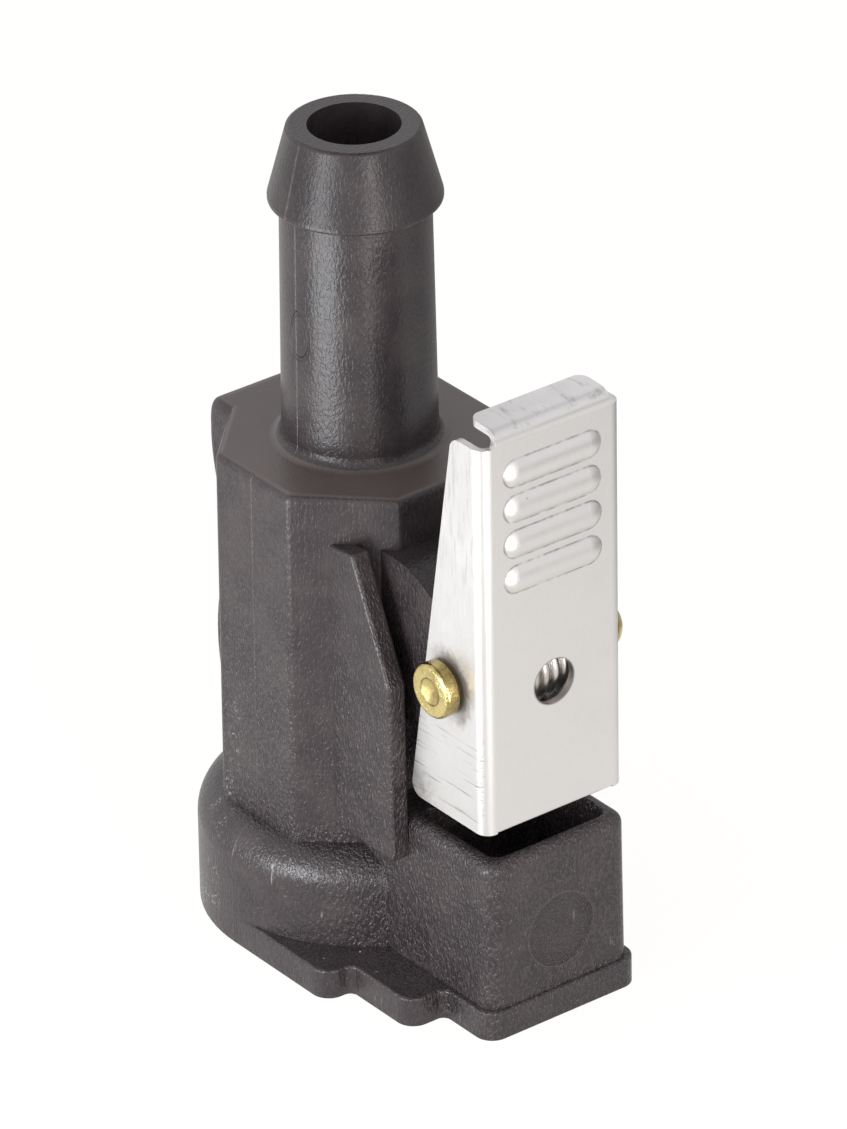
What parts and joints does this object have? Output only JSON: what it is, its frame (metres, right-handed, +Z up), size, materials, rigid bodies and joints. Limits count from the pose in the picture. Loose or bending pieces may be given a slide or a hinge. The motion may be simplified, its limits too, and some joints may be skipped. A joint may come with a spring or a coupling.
{
  "type": "marine fuel line quick connector",
  "caption": "Moulded female quick coupling with a hose barb, fuel socket and a sprung steel latch lever on a brass rivet.",
  "frame": {"origin": "on the hose bore's axis, in the mating face that seats on the mate", "axes": "+Z up along the hose bore, towards the barb; -Y towards the latch lever; X along the lever's rivet"},
  "size_m": [0.0228, 0.0323, 0.057],
  "materials": {
    "body_nylon": "fine grained, slightly glossy",
    "lever_steel": "satin stainless sheet",
    "pin_brass": "bright",
    "spring_steel": "bright wire",
    "seal_rubber": "matt",
    "valve_acetal": "smooth"
  },
  "bodies": {
    "coupler": {"coupler_body": "body_nylon", "lever_pin": "pin_brass", "seal_retainer": "body_nylon", "socket_seal": "seal_rubber", "valve_seat": "valve_acetal", "valve_spring": "spring_steel"},
    "lever": {"latch_lever": "lever_steel", "lever_spring": "spring_steel"},
    "valve": {"valve_poppet": "valve_acetal", "valve_seal": "seal_rubber"}
  },
  "joints": [
    {"name": "lever_hinge", "type": "hinge", "parent": "coupler", "child": "lever", "pos_m": [0, -0.01615, 0.0247], "axis": [-1, 0, 0], "range_deg": [0, 10], "stiffness_Nm_per_rad": 0.05, "springref_deg": -20.05, "deforming": ["lever_spring"]},
    {"name": "valve_slide", "type": "slide", "parent": "coupler", "child": "valve", "axis": [0, 0, 1], "range_m": [0, 0.0026], "stiffness_N_per_m": 150, "springref_m": -0.008, "deforming": ["valve_spring"]}
  ]
}
